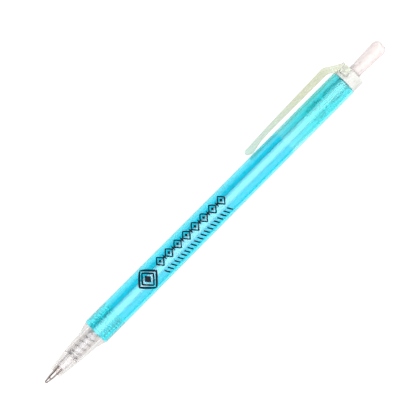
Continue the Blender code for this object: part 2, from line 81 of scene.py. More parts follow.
BARREL_FRONT, BARREL_REAR, BARREL_FRONT_RADIUS = span("barrel")
NOSE_FRONT, SPIGOT_END, _ = span("nose_cone")
SPRING_START, SPRING_END, SPRING_RADIUS = span("return_spring")
SLEEVE_START, COLLAR_END, COLLAR_RADIUS = span("end_cap")
TIP_FRONT, TIP_SHANK_END, _ = span("tip_cone")
HOLDER_START, _, SEAT_RADIUS = span("tip_holder")
TUBE_START, TUBE_END, TUBE_RADIUS = span("refill_tube")
INK_START, INK_END, INK_RADIUS = span("gel_ink")
FOLLOWER_START, FOLLOWER_END, FOLLOWER_RADIUS = span("grease_follower")
PLUG_START, PLUG_END, _ = span("tail_plug")
HAIR_START, HAIR_END, HAIR_REACH = span("ball_spring")
ROTOR_START, ROTOR_STEM_END, FIN_RADIUS = span("cam_rotor")
PLUNGER_START, PEN_LENGTH, _ = span("plunger")

# ---------------------------------------------------------------- dimensions the parts share, millimetres

BARREL_TAPER = -0.26
BARREL_SWELL = 0.06
BORE_RADIUS = 3.3
THREAD_START = 21.8
THREAD_END = 29.6
THREAD_PITCH = 1.0
THREAD_DEPTH = 0.3
THREAD_FADE = 0.7
THREAD_ROWS_PER_PITCH = 12
THREAD_SHARPNESS = 1.35
SPIGOT_ROOT = BORE_RADIUS - 0.45
CHAMBER_START = 11.0
CHAMBER_RADIUS = 2.25
STEM_RADIUS = 1.35
SLEEVE_RADIUS = BORE_RADIUS - 0.1
SLEEVE_BORE = FIN_RADIUS + 0.15
COLLAR_START = BARREL_REAR + 0.2
COLLAR_WALL_START = 128.6
CLIP_TIP_X = 89.9
CLIP_KNEE_X = 124.0
CLIP_HALF_WIDTH = 2.1
CLIP_NARROWING = 0.4
CHEEK_START = 127.4
CHEEK_END = 130.05
CHEEK_INNER_RADIUS = 3.9
CHEEK_OUTER_RADIUS = 4.25
CHEEK_HALF_ANGLE = math.radians(74)
RECESS_HALF_ANGLE = math.radians(79)
RECESS_GAP = 0.4
BUTTON_HOLE_RADIUS = 2.15
BUTTON_HEAD_START = 134.0
GUIDE_END = 123.4
TRACK_COUNT = 4
TRACK_INNER_RADIUS = 2.12
TRACK_HALF_ANGLE = math.radians(14)
FIN_HALF_ANGLE = math.radians(11)
FIN_START = 112.4
FIN_END = 114.6
FIN_ROOT_DEPTH = 0.2
TOOTH_COUNT = 8
TOOTH_HEIGHT = 0.7
ROTOR_CROWN = 116.7
CLICK_TRAVEL = 5.0
CLICK_TURN = math.radians(45)
HELIX = CLICK_TRAVEL / CLICK_TURN


# ---------------------------------------------------------------- mesh building


def finish_mesh(name, bm, material, body, nodes=(), smooth_angle=35):
    """Makes the mesh, in millimetres of the pen's frame, a piece that rides on a body, if one is given."""
    bmesh.ops.recalc_face_normals(bm, faces=bm.faces)
    bm.transform(PEN @ Matrix.Scale(MM, 4))
    mesh = bpy.data.meshes.new(name)
    bm.to_mesh(mesh)
    bm.free()
    mesh.shade_smooth()
    mesh.set_sharp_from_angle(angle=math.radians(smooth_angle))
    mesh.materials.append(material)
    obj = bpy.data.objects.new(name, mesh)
    bpy.context.collection.objects.link(obj)
    obj.modifiers.new("flat_faces_stay_flat", "WEIGHTED_NORMAL").keep_sharp = True
    if body:
        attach(obj, body)
    if nodes:
        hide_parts(*nodes)
    return obj


def turned(profile, segments=ROUND):
    """A solid of revolution about X from a closed outline of (x, radius) points."""
    bm = bmesh.new()
    points = [bm.verts.new((x, radius, 0)) for x, radius in profile]
    pairs = list(zip(points, points[1:] + points[:1]))
    edges = [bm.edges.new(pair) for pair in pairs if pair[0].co.y > 0 or pair[1].co.y > 0]
    bmesh.ops.spin(
        bm, geom=points + edges, cent=(0, 0, 0), axis=(1, 0, 0), angle=FULL_TURN, steps=segments,
        use_merge=True,
    )
    bmesh.ops.remove_doubles(bm, verts=bm.verts, dist=1e-5)
    return bm


def block(centre, size):
    """A box with its sides along the pen's axes."""
    bm = bmesh.new()
    bmesh.ops.create_cube(bm, size=1)
    for vertex in bm.verts:
        vertex.co = Vector(middle + side * share for middle, side, share in zip(centre, size, vertex.co))
    return bm


def skin(bm, rings, loop=False):
    """Faces between each ring of points and the next. A loop joins up, and anything else has closed ends."""
    for ring, following in list(zip(rings, rings[1:])) + ([(rings[-1], rings[0])] if loop else []):
        for k in range(len(ring)):
            m = (k + 1) % len(ring)
            bm.faces.new((ring[k], ring[m], following[m], following[k]))
    if not loop:
        bm.faces.new(rings[0])
        bm.faces.new(rings[-1])


def arc(centre_x, centre_radius, size, start_degrees, end_degrees, steps=6):
    """Points of a round stretch of an outline, angles counted from +X towards growing radius."""
    turn = end_degrees - start_degrees
    angles = [math.radians(start_degrees + turn * i / steps) for i in range(steps + 1)]
    return [(centre_x + size * math.cos(a), centre_radius + size * math.sin(a)) for a in angles]


def smoothed(points, steps=6):
    """A soft curve through the points (Catmull-Rom), with its ends kept."""
    ends = [points[0], *points, points[-1]]
    curve = []
    for before, start, end, after in zip(ends, ends[1:], ends[2:], ends[3:]):
        for i in range(steps):
            t = i / steps
            weights = (
                -0.5 * t + t * t - 0.5 * t ** 3,
                1 - 2.5 * t * t + 1.5 * t ** 3,
                0.5 * t + 2 * t * t - 1.5 * t ** 3,
                -0.5 * t * t + 0.5 * t ** 3,
            )
            four = (before, start, end, after)
            curve.append(tuple(sum(w * p[k] for w, p in zip(weights, four)) for k in range(2)))
    curve.append(points[-1])
    return curve


def smooth_step(share):
    """A share from 0 to 1 that starts and ends gently."""
    share = max(0.0, min(1.0, share))
    return share * share * (3 - 2 * share)


def thread_rows():
    """The x of each row of points along the thread."""
    count = round((THREAD_END - THREAD_START) / THREAD_PITCH * THREAD_ROWS_PER_PITCH)
    return [THREAD_START + (THREAD_END - THREAD_START) * i / count for i in range(count + 1)]


def cut_thread(bm, plain_radius, rest_level):
    """Shapes the rows at plain_radius into a right-hand thread. rest_level is 1 where it fades to its crest
    and -1 where it fades to its root."""
    half = THREAD_DEPTH / 2
    for vertex in bm.verts:
        radius = math.hypot(vertex.co.y, vertex.co.z)
        if abs(radius - plain_radius) > 1e-3 or not THREAD_START <= vertex.co.x <= THREAD_END:
            continue
        turn = math.atan2(vertex.co.z, vertex.co.y)
        wave = math.cos(FULL_TURN * vertex.co.x / THREAD_PITCH - turn)
        wave = max(-1.0, min(1.0, THREAD_SHARPNESS * wave))
        edge = min(vertex.co.x - THREAD_START, THREAD_END - vertex.co.x)
        share = smooth_step(edge / THREAD_FADE)
        middle = plain_radius - rest_level * half
        factor = (middle + half * (share * wave + (1 - share) * rest_level)) / radius
        vertex.co.y *= factor
        vertex.co.z *= factor


def sector(inner, outer, start_x, end_x, centre_angle, half_angle, start_slope=0.0, end_slope=0.0, steps=6):
    """A block between two radii. Its two ends may slope with the angle, in millimetres per radian."""
    bm = bmesh.new()
    rings = []
    for i in range(steps + 1):
        offset = half_angle * (2 * i / steps - 1)
        angle = centre_angle + offset
        start, end = start_x + start_slope * offset, end_x + end_slope * offset
        corners = ((start, inner), (start, outer), (end, outer), (end, inner))
        rings.append([bm.verts.new((x, r * math.cos(angle), r * math.sin(angle))) for x, r in corners])
    skin(bm, rings)
    return bm


def joined(parts):
    """One mesh of several."""
    whole = bmesh.new()
    for part in parts:
        scrap = bpy.data.meshes.new("scrap")
        part.to_mesh(scrap)
        part.free()
        whole.from_mesh(scrap)
        bpy.data.meshes.remove(scrap)
    return whole


def raise_teeth(bm, ring_x, direction):
    """Turns the flat ring at ring_x into a crown of triangular teeth along X."""
    for vertex in bm.verts:
        if abs(vertex.co.x - ring_x) > 1e-3 or math.hypot(vertex.co.y, vertex.co.z) < 1e-3:
            continue
        phase = math.atan2(vertex.co.z, vertex.co.y) * TOOTH_COUNT / FULL_TURN
        vertex.co.x += direction * TOOTH_HEIGHT * (1 - 2 * abs(phase - round(phase)))


def combined(bm, other, operation):
    """The Boolean of two meshes, as a new mesh."""
    scrap = []
    for part in (bm, other):
        bmesh.ops.recalc_face_normals(part, faces=part.faces)
        mesh = bpy.data.meshes.new("scrap")
        part.to_mesh(mesh)
        part.free()
        obj = bpy.data.objects.new("scrap", mesh)
        bpy.context.collection.objects.link(obj)
        scrap.append(obj)
    modifier = scrap[0].modifiers.new("join", "BOOLEAN")
    modifier.operation = operation
    modifier.object = scrap[1]
    result = bmesh.new()
    graph = bpy.context.evaluated_depsgraph_get()
    result.from_mesh(scrap[0].evaluated_get(graph).to_mesh())
    for obj in scrap:
        mesh = obj.data
        bpy.data.objects.remove(obj)
        bpy.data.meshes.remove(mesh)
    return result


def coil(start, end, radius, wire, turns, dead_turns, sides, steps_per_turn):
    """A wire wound about X, its middle going from start to end. The dead turns at each end nearly touch."""
    bm = bmesh.new()
    closed = dead_turns * wire * 1.02
    length = end - start
    count = round(turns * steps_per_turn)
    rings = []
    for i in range(count + 1):
        turn = turns * i / count
        if turn < dead_turns:
            rise = closed * turn / dead_turns
        elif turn > turns - dead_turns:
            rise = length - closed * (turns - turn) / dead_turns
        else:
            rise = closed + (length - 2 * closed) * (turn - dead_turns) / (turns - 2 * dead_turns)
        angle = FULL_TURN * turn
        ring = []
        for k in range(sides):
            around_wire = FULL_TURN * k / sides
            r = radius + wire / 2 * math.cos(around_wire)
            x = start + rise + wire / 2 * math.sin(around_wire)
            ring.append(bm.verts.new((x, r * math.cos(angle), r * math.sin(angle))))
        rings.append(ring)
    skin(bm, rings)
    return bm


# ---------------------------------------------------------------- materials

COAT_ROUGHNESS = 0.12
COAT_IOR = 2.0
RELIEF_HEIGHT = 0.02 * MM
WHITE = (1, 1, 1)


def surface(name, colour, second, roughness, metallic=0.0, transmission=0.0, ior=1.46, bump=0.04,
            grain=900.0, stretch=(1, 1, 1), coat=0.0, mottle=60.0, scatter=0.0):
    """A Principled material whose colour, roughness and relief vary with layered noise.

    It drifts between colour and second in patches of the mottle's scale. roughness is (least, most), and
    grain is the scale of the fine relief, both scales per metre. stretch turns the grain into drawing or
    moulding lines. scatter is how far light spreads inside, in millimetres.
    """
    material = bpy.data.materials.new(name)
    material.use_nodes = True
    nodes, links = material.node_tree.nodes, material.node_tree.links
    shader = nodes["Principled BSDF"]
    shader.inputs["Metallic"].default_value = metallic
    shader.inputs["Transmission Weight"].default_value = transmission
    shader.inputs["IOR"].default_value = ior
    shader.inputs["Subsurface Weight"].default_value = 1.0 if scatter else 0.0
    shader.inputs["Subsurface Radius"].default_value = (1, 1, 1)
    shader.inputs["Subsurface Scale"].default_value = scatter * MM
    shader.inputs["Coat Weight"].default_value = coat
    shader.inputs["Coat Roughness"].default_value = COAT_ROUGHNESS
    shader.inputs["Coat IOR"].default_value = COAT_IOR
    where = nodes.new("ShaderNodeTexCoord")
    shape = nodes.new("ShaderNodeMapping")
    shape.inputs["Scale"].default_value = stretch
    links.new(where.outputs["Object"], shape.inputs["Vector"])

    broad = nodes.new("ShaderNodeTexNoise")
    broad.inputs["Scale"].default_value = mottle
    broad.inputs["Detail"].default_value = 3.0
    links.new(where.outputs["Object"], broad.inputs["Vector"])
    tint = nodes.new("ShaderNodeValToRGB")
    tint.color_ramp.elements[0].position = 0.35
    tint.color_ramp.elements[0].color = (*colour, 1)
    tint.color_ramp.elements[1].position = 0.65
    tint.color_ramp.elements[1].color = (*second, 1)
    links.new(broad.outputs["Fac"], tint.inputs["Fac"])
    links.new(tint.outputs["Color"], shader.inputs["Base Color"])

    fine = nodes.new("ShaderNodeTexNoise")
    fine.inputs["Scale"].default_value = grain
    fine.inputs["Detail"].default_value = 4.0
    links.new(shape.outputs["Vector"], fine.inputs["Vector"])
    wear = nodes.new("ShaderNodeMapRange")
    wear.inputs["From Min"].default_value = 0.3
    wear.inputs["From Max"].default_value = 0.7
    wear.inputs["To Min"].default_value = roughness[0]
    wear.inputs["To Max"].default_value = roughness[1]
    links.new(fine.outputs["Fac"], wear.inputs["Value"])
    links.new(wear.outputs["Result"], shader.inputs["Roughness"])
    relief = nodes.new("ShaderNodeBump")
    relief.inputs["Strength"].default_value = bump
    relief.inputs["Distance"].default_value = RELIEF_HEIGHT
    links.new(fine.outputs["Fac"], relief.inputs["Height"])
    links.new(relief.outputs["Normal"], shader.inputs["Normal"])
    return material


def ramp_along(material, start, end, stops):
    """A colour ramp between two x of the pen, by (share of the way, colour, amount) stops."""
    nodes, links = material.node_tree.nodes, material.node_tree.links
    where = nodes.new("ShaderNodeTexCoord")
    split = nodes.new("ShaderNodeSeparateXYZ")
    way = nodes.new("ShaderNodeMapRange")
    way.inputs["From Min"].default_value = (PEN @ (Vector((start, 0, 0)) * MM)).x
    way.inputs["From Max"].default_value = (PEN @ (Vector((end, 0, 0)) * MM)).x
    drift = nodes.new("ShaderNodeValToRGB")
    ramp = drift.color_ramp
    while len(ramp.elements) < len(stops):
        ramp.elements.new(0.5)
    for element, (position, colour, amount) in zip(ramp.elements, stops):
        element.position = position
        element.color = (*colour, amount)
    links.new(where.outputs["Object"], split.inputs["Vector"])
    links.new(split.outputs["X"], way.inputs["Value"])
    links.new(way.outputs["Result"], drift.inputs["Fac"])
    return drift


def tint_along(material, start, end, stops):
    """Mixes colours into the material's own along the pen."""
    nodes, links = material.node_tree.nodes, material.node_tree.links
    shader = nodes["Principled BSDF"]
    own = shader.inputs["Base Color"].links[0].from_socket
    drift = ramp_along(material, start, end, stops)
    mix = nodes.new("ShaderNodeMix")
    mix.data_type = "RGBA"
    links.new(drift.outputs["Alpha"], mix.inputs["Factor"])
    links.new(own, mix.inputs["A"])
    links.new(drift.outputs["Color"], mix.inputs["B"])
    links.new(mix.outputs["Result"], shader.inputs["Base Color"])


def coat_along(material, start, end, stops):
    """Sets the strength of the material's coat along the pen, by (share of the way, strength) stops."""
    drift = ramp_along(material, start, end, [(share, WHITE, value) for share, value in stops])
    shader = material.node_tree.nodes["Principled BSDF"]
    material.node_tree.links.new(drift.outputs["Alpha"], shader.inputs["Coat Weight"])


AQUA = surface(
    "barrel_aqua", (0.02, 0.8, 0.94), (0.03, 0.82, 0.96), (0.12, 0.18), transmission=0.92, ior=1.45,
    bump=0.1, grain=500, stretch=(0.15, 1, 1), coat=0.4,
)
# The plastic is painted paler around the nose's spigot, 8% of the way along, and from the cam sleeve's front
# on: painted light that stands in for light from the parts inside.
SPIGOT_PAINTED_LIGHT = (0.08, 0.92, 1.0)
SLEEVE_PAINTED_LIGHT = (0.32, 0.93, 1.0)
CAM_PAINTED_LIGHT = (0.15, 0.94, 0.98)
tint_along(AQUA, BARREL_FRONT, BARREL_REAR, (
    (0.0, SPIGOT_PAINTED_LIGHT, 0.75), (0.08, SPIGOT_PAINTED_LIGHT, 0.75), (0.084, (0.08, 1.0, 1.0), 0.0),
    (0.7615, SLEEVE_PAINTED_LIGHT, 0.0), (0.762, SLEEVE_PAINTED_LIGHT, 1.0), (0.86, CAM_PAINTED_LIGHT, 1.0),
    (0.93, CAM_PAINTED_LIGHT, 1.0), (0.97, (0.22, 0.95, 1.0), 1.0),
))
coat_along(AQUA, BARREL_FRONT, BARREL_REAR, (
    (0.0, 0.25), (0.08, 0.25), (0.084, 0.4), (0.7615, 0.4), (0.762, 0.15), (0.86, 0.2), (1.0, 0.1),
))
CLEAR = surface(
    "nose_clear", (0.79, 0.765, 0.75), (0.81, 0.785, 0.77), (0.1, 0.18), transmission=0.94, ior=1.24,
    grain=400, coat=0.1,
)
tint_along(CLEAR, BARREL_FRONT, SPIGOT_END, ((0.0, WHITE, 0.0), (0.02, WHITE, 1.0)))
CAP = surface(
    "cap_frosted", (0.52, 0.53, 0.5), (0.55, 0.55, 0.525), (0.4, 0.5), ior=1.35, bump=0.2, scatter=2.0,
)
CLIP = surface(
    "clip_clear", (0.6, 0.63, 0.47), (0.62, 0.65, 0.51), (0.08, 0.16), transmission=0.92, ior=1.25,
    grain=400,
)
# The clip is bluer towards its tip. Its root is painted lighter: painted light that lifts the shade under
# the clip's foot.
CLIP_TIP_TINT = (0.53, 0.67, 0.6)
CLIP_ROOT_PAINTED_LIGHT = (0.72, 0.75, 0.62)
tint_along(CLIP, 92.0, 130.0, (
    (0.0, CLIP_TIP_TINT, 1.0), (0.6, CLIP_TIP_TINT, 0.0), (0.83, CLIP_ROOT_PAINTED_LIGHT, 0.0),
    (0.9, CLIP_ROOT_PAINTED_LIGHT, 1.0),
))
# The cheeks are lighter than the clip's plastic: partly their thin wall, and partly painted light that lifts
# the shade between cheek and collar.
CHEEK = surface(
    "clip_thin_painted_light", (0.95, 0.98, 0.87), (0.94, 0.96, 0.89), (0.08, 0.16), transmission=0.7, ior=1.2,
    grain=400,
)
BUTTON = surface(
    "button_frosted", (0.6, 0.555, 0.54), (0.63, 0.565, 0.56), (0.42, 0.52), ior=1.35, bump=0.25,
    scatter=2.5,
)
# Painted light: the button's part inside the barrel is lighter, to lift the shade it sits in there.
BUTTON_INNER_PAINTED_LIGHT = (0.8, 0.79, 0.78)
tint_along(BUTTON, 116.0, 126.0, (
    (0.0, BUTTON_INNER_PAINTED_LIGHT, 1.0), (0.8, BUTTON_INNER_PAINTED_LIGHT, 1.0), (0.95, BUTTON_INNER_PAINTED_LIGHT, 0.0),
))
SLEEVE = surface(
    "sleeve_milky", (0.98, 0.98, 1.0), (0.99, 0.99, 1.0), (0.1, 0.2), transmission=0.98, ior=1.04,
    bump=0.2,
)
# The rotor's teal is far lighter than its own dark teal: painted light that lifts the shade it sits in
# inside the barrel.
ROTOR = surface(
    "rotor_dark", (0.09, 0.78, 0.76), (0.12, 0.82, 0.8), (0.35, 0.5), bump=0.2, scatter=1.0,
)
STEEL = surface(
    "spring_steel", (0.6, 0.6, 0.63), (0.68, 0.68, 0.71), (0.15, 0.28), metallic=1.0, grain=3000,
    bump=0.1,
)
TUBE = surface(
    "tube_milky", (0.75, 0.78, 0.83), (0.78, 0.81, 0.85), (0.35, 0.45), ior=1.4, scatter=0.3,
    stretch=(0.1, 1, 1),
)
HOLDER = surface("holder_white", (0.93, 0.94, 1.0), (0.95, 0.96, 1.0), (0.35, 0.45), bump=0.15)
TIP = surface(
    "tip_metal", (0.34, 0.305, 0.295), (0.38, 0.34, 0.325), (0.06, 0.12), metallic=1.0, grain=6000,
    stretch=(3, 0.4, 0.4), bump=0.15,
)
CARBIDE = surface(
    "carbide", (0.55, 0.55, 0.57), (0.62, 0.62, 0.64), (0.08, 0.14), metallic=1.0, grain=9000,
)
HAIR = surface(
    "hair_spring_steel", (0.7, 0.7, 0.72), (0.76, 0.76, 0.78), (0.2, 0.35), metallic=1.0, grain=5000,
)
INK = surface("ink", (0.015, 0.015, 0.02), (0.03, 0.03, 0.04), (0.05, 0.15), mottle=200)
GREASE = surface(
    "grease", (0.9, 0.86, 0.7), (0.94, 0.91, 0.78), (0.05, 0.2), transmission=0.7, ior=1.48, grain=700,
)
PLUG = surface("plug_white", (0.86, 0.86, 0.86), (0.9, 0.9, 0.9), (0.35, 0.5), bump=0.15)
PRINT = surface(
    "print_black", (0.004, 0.006, 0.012), (0.008, 0.012, 0.02), (0.35, 0.6), ior=1.15, grain=2500,
    bump=0.3, mottle=900,
)


# ---------------------------------------------------------------- pieces


def barrel_radius(x):
    """The visual barrel's outer radius at x."""
    share = (x - BARREL_FRONT) / (BARREL_REAR - BARREL_FRONT)
    return BARREL_FRONT_RADIUS + BARREL_TAPER * share + BARREL_SWELL


def make_barrel():
    edge = 0.2
    front, rear = barrel_radius(BARREL_FRONT) - edge, barrel_radius(BARREL_REAR) - edge
    profile = arc(BARREL_FRONT + edge, front, edge, 180, 90)
    profile += [(x, barrel_radius(x)) for x in range(24, 124, 4)]
    profile += arc(BARREL_REAR - edge, rear, edge, 90, 0)
    profile += [(BARREL_REAR, BORE_RADIUS)]
    profile += [(x, BORE_RADIUS) for x in range(124, 32, -4)]
    profile += [(x, BORE_RADIUS) for x in reversed(thread_rows())]
    profile += [(BARREL_FRONT, BORE_RADIUS)]
    bm = turned(profile)
    cut_thread(bm, BORE_RADIUS, rest_level=1)
    finish_mesh("barrel_tube", bm, AQUA, "barrel", ["barrel"])


def make_nose():
    shoulder = BARREL_FRONT - 0.2
    flank = smoothed([(4.55, 1.9), (7.0, 2.2), (9.8, 2.54), (12.0, 2.78), (14.3, 3.0), (17.2, 3.24)])
    flare = smoothed([(18.3, 3.38), (19.2, 3.64), (19.9, 3.88), (20.5, 4.05)])
    profile = [(NOSE_FRONT, 1.2), (NOSE_FRONT, 1.62), *arc(NOSE_FRONT + 0.2, 1.66, 0.2, 170, 110, 4)]
    profile += flank + flare
    profile += arc(shoulder - 0.2, 3.95, 0.2, 90, 0, 4)
    profile += [(shoulder, SPIGOT_ROOT)]
    profile += [(x, SPIGOT_ROOT) for x in thread_rows()]
    profile += [
        (SPIGOT_END, SPIGOT_ROOT - 0.15),
        (SPIGOT_END, CHAMBER_RADIUS + 0.1),
        (SPIGOT_END - 0.1, CHAMBER_RADIUS),
        (CHAMBER_START + 0.15, CHAMBER_RADIUS),
        (CHAMBER_START, CHAMBER_RADIUS - 0.15),
        (CHAMBER_START, STEM_RADIUS + 0.15),
        (5.1, STEM_RADIUS + 0.15),
        (5.1, 1.2),
    ]
    bm = turned(profile)
    cut_thread(bm, SPIGOT_ROOT, rest_level=-1)
    finish_mesh("nose_tip", bm, CLEAR, "nose", ["nose_cone"])


def make_return_spring():
    wire = 0.4
    bm = coil(
        SPRING_START + wire / 2, SPRING_END - wire / 2, SPRING_RADIUS - wire / 2, wire, turns=11,
        dead_turns=1.8, sides=12, steps_per_turn=48,
    )
    piece = finish_mesh("coil_spring", bm, STEEL, None, ["return_spring"], 60)
    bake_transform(piece)


def make_refill():
    ball = bmesh.new()
    bmesh.ops.create_uvsphere(ball, u_segments=32, v_segments=20, radius=BALL_RADIUS)
    bmesh.ops.translate(ball, verts=ball.verts, vec=(BALL_RADIUS, 0, 0))
    finish_mesh("writing_ball", ball, CARBIDE, "ball", ["tip_ball"], 80)

    cone = [
        (TIP_FRONT, 0.375), (TIP_FRONT, 0.43), (0.32, 0.47), (0.5, 0.51), (1.5, 0.66), (2.3, 0.81),
        (2.42, 0.84), (3.9, 0.9), (6.45, 0.99), (6.5, 0.95), (6.5, 0.85), (TIP_SHANK_END, 0.85),
        (TIP_SHANK_END, 0.55), (2.6, 0.55), (1.6, 0.2), (0.95, 0.2),
    ]
    cone += arc(BALL_RADIUS, 0, BALL_RADIUS + 0.02, 32, 98, 8)
    finish_mesh("metal_tip", turned(cone, 64), TIP, "refill", ["tip_cone"])

    wire = 0.12
    hair = coil(
        HAIR_START + wire / 2, HAIR_END - wire / 2, HAIR_REACH - wire / 2, wire, turns=12,
        dead_turns=0, sides=8, steps_per_turn=32,
    )
    finish_mesh("hair_spring", hair, HAIR, "refill", ["ball_spring"], 60)

    plug = TUBE_RADIUS - 0.48
    seat = SPRING_END + 0.15
    holder = [
        (HOLDER_START, 0.95), (HOLDER_START, 1.15), *arc(HOLDER_START + 0.2, 1.15, 0.2, 180, 90, 4),
        (seat, STEM_RADIUS), *arc(seat + 0.1, SEAT_RADIUS - 0.1, 0.1, 180, 90, 4),
        *arc(28.5, SEAT_RADIUS - 0.1, 0.1, 90, 0, 4), (29.1, TUBE_RADIUS), (TUBE_START - 0.15, TUBE_RADIUS),
        (TUBE_START - 0.1, TUBE_RADIUS - 0.05), (TUBE_START - 0.1, plug), (INK_START - 0.3, plug),
        (INK_START - 0.1, plug - 0.1), (INK_START - 0.1, 0.75), (30.1, 0.55), (9.6, 0.55), (9.6, 0.95),
    ]
    finish_mesh("refill_stem", turned(holder), HOLDER, "refill", ["tip_holder"])

    tube = [
        (TUBE_START, 1.05), (TUBE_START, 1.4), (TUBE_START + 0.05, TUBE_RADIUS),
        *[(x, TUBE_RADIUS) for x in range(36, 108, 4)],
        (TUBE_END - 0.05, TUBE_RADIUS), (TUBE_END, 1.4), (TUBE_END, 1.05),
    ]
    finish_mesh("ink_tube", turned(tube), TUBE, "refill", ["refill_tube"])

    ink = [(INK_START, 0), (INK_START, 0.8), (INK_START + 0.1, INK_RADIUS)]
    ink += [(INK_END - 0.25, INK_RADIUS), (INK_END - 0.1, 0.6), (INK_END, 0)]
    finish_mesh("ink_column", turned(ink, 64), INK, "refill", ["gel_ink"], 50)

    grease = [(FOLLOWER_START, 0), (FOLLOWER_START - 0.08, 0.5), (FOLLOWER_START - 0.2, FOLLOWER_RADIUS)]
    grease += [(FOLLOWER_END, FOLLOWER_RADIUS), (FOLLOWER_END - 0.3, 0.5), (FOLLOWER_END - 0.4, 0)]
    finish_mesh("grease_plug", turned(grease, 64), GREASE, "refill", ["grease_follower"], 50)

    tail = [
        (PLUG_START, 0.4), (PLUG_START, plug - 0.1), (PLUG_START + 0.2, plug), (TUBE_END + 0.1, plug),
        (TUBE_END + 0.1, TUBE_RADIUS), *arc(PLUG_END - 0.1, TUBE_RADIUS - 0.1, 0.1, 90, 0, 4),
        (PLUG_END, 0.4),
    ]
    finish_mesh("tail_stopper", turned(tail), PLUG, "refill", ["tail_plug"])


def make_rotor():
    body, waist, stem = 1.95, 1.6, 0.85
    profile = [
        (ROTOR_START, 0), (ROTOR_START, body - 0.1), (ROTOR_START + 0.1, body), (FIN_START + 0.3, body),
        (FIN_START + 0.5, waist), (ROTOR_CROWN - 0.9, waist), (ROTOR_CROWN - 0.7, body), (ROTOR_CROWN, body),
        (ROTOR_CROWN, 1.2), (ROTOR_CROWN - 0.1, stem), (ROTOR_STEM_END - 0.3, stem),
        (ROTOR_STEM_END, stem - 0.3), (ROTOR_STEM_END, 0),
    ]
    bm = turned(profile)
    raise_teeth(bm, ROTOR_CROWN, 1)
    fins = joined([
        sector(waist - FIN_ROOT_DEPTH, FIN_RADIUS, FIN_START, FIN_END, FULL_TURN * i / TRACK_COUNT,
               FIN_HALF_ANGLE, end_slope=HELIX)
        for i in range(TRACK_COUNT)
    ])
    bm = combined(bm, fins, "UNION")
    finish_mesh("cam_wheel", bm, ROTOR, "rotor", ["cam_rotor"])


def make_plunger():
    bore, neck, head, flat = 1.15, 2.0, 2.3, 0.9
    crown = PLUNGER_START + TOOTH_HEIGHT
    dome = 2.0
    profile = [(crown, bore), (crown, neck - 0.05), (GUIDE_END, neck), (131.3, neck + 0.02)]
    profile += smoothed([(132.6, neck + 0.03), (BUTTON_HEAD_START, 2.1), (136.0, 2.2), (138.4, 2.28)])
    for across, lift in arc(0, 0, 1, 0, 90, 14):
        profile.append((PEN_LENGTH - dome * (1 - lift), flat + (head - flat) * across))
    profile += [(PEN_LENGTH, 0), (BUTTON_HEAD_START, 0), (BUTTON_HEAD_START - 0.6, bore)]
    bm = turned(profile)
    raise_teeth(bm, crown, -1)
    guides = joined([
        sector(neck - FIN_ROOT_DEPTH, FIN_RADIUS, crown + 0.4, GUIDE_END,
               FULL_TURN * (i + 0.5) / TRACK_COUNT, FIN_HALF_ANGLE)
        for i in range(TRACK_COUNT)
    ])
    bm = combined(bm, guides, "UNION")
    finish_mesh("push_button", bm, BUTTON, "button", ["plunger"])


def make_end_cap():
    barb_count, first_barb, barb_step, barb_height = 4, 117.0, 2.2, 0.06
    barbs = []
    for i in range(barb_count):
        x = first_barb + barb_step * i
        barbs += [(x, SLEEVE_RADIUS), (x + 0.8, SLEEVE_RADIUS + barb_height), (x + 0.9, SLEEVE_RADIUS)]
    sleeve = [
        (SLEEVE_START, SLEEVE_BORE), (SLEEVE_START, SLEEVE_RADIUS - 0.2),
        (SLEEVE_START + 0.4, SLEEVE_RADIUS), *barbs, (COLLAR_START, SLEEVE_RADIUS),
        (COLLAR_START, SLEEVE_BORE),
    ]
    tracks = joined([
        sector(TRACK_INNER_RADIUS, SLEEVE_BORE + 0.2, FIN_END + 0.2, COLLAR_START,
               FULL_TURN * i / TRACK_COUNT, TRACK_HALF_ANGLE, start_slope=HELIX)
        for i in range(TRACK_COUNT)
    ])
    bm = combined(turned(sleeve), tracks, "UNION")
    finish_mesh("cam_sleeve", bm, SLEEVE, "barrel")

    collar = [
        (COLLAR_START, COLLAR_RADIUS - 0.05), (COLLAR_START + 0.05, COLLAR_RADIUS),
        *arc(COLLAR_END - 0.6, COLLAR_RADIUS - 0.6, 0.6, 90, 0, 8), (COLLAR_END, BUTTON_HOLE_RADIUS + 0.15),
        (COLLAR_END - 0.15, BUTTON_HOLE_RADIUS), (COLLAR_WALL_START, BUTTON_HOLE_RADIUS),
        (COLLAR_WALL_START, SLEEVE_BORE), (COLLAR_START, SLEEVE_BORE),
    ]
    pocket = block((128.2, 4.1, 0), (2.5, 2.0, 2.9))
    bm = combined(turned(collar), pocket, "DIFFERENCE")
    recess = sector(
        CHEEK_INNER_RADIUS - 0.15, COLLAR_RADIUS + 1, CHEEK_START - RECESS_GAP, COLLAR_END + 1, 0,
        RECESS_HALF_ANGLE, steps=48,
    )
    bm = combined(bm, recess, "DIFFERENCE")
    finish_mesh("collar", bm, CAP, "barrel", ["end_cap"])


def clip_half_width(x):
    """Half the clip's width at x, which narrows towards its tip."""
    return CLIP_HALF_WIDTH - CLIP_NARROWING * (CLIP_KNEE_X - x) / (CLIP_KNEE_X - CLIP_TIP_X)


